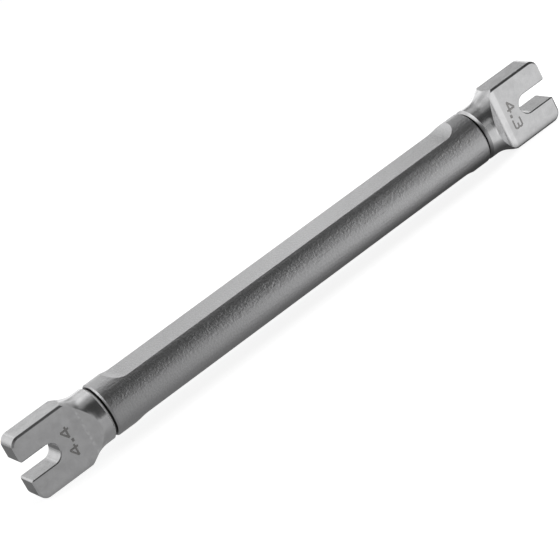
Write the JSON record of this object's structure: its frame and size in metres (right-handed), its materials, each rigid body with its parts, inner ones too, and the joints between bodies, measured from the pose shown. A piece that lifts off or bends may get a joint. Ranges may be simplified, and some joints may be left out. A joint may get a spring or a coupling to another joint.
{
  "type": "spoke wrench",
  "caption": "Rigid pocket wrench for bicycle spoke nipples: a flatted aluminium bar with a flared, slotted steel jaw fixed in each end.",
  "frame": {"origin": "middle of the tool, on the axis of its bar", "axes": "+X along the bar towards the jaw of 4.3 mm, +Z square to the bar's flats and along the width of the plates of the heads, Y square to the faces of those plates"},
  "size_m": [0.1394, 0.012, 0.0144],
  "materials": {
    "bar": "satin anodised",
    "jaws": "satin"
  },
  "bodies": {
    "root": {"handle": "bar", "head_4_4": "jaws", "head_4_3": "jaws"}
  },
  "joints": []
}
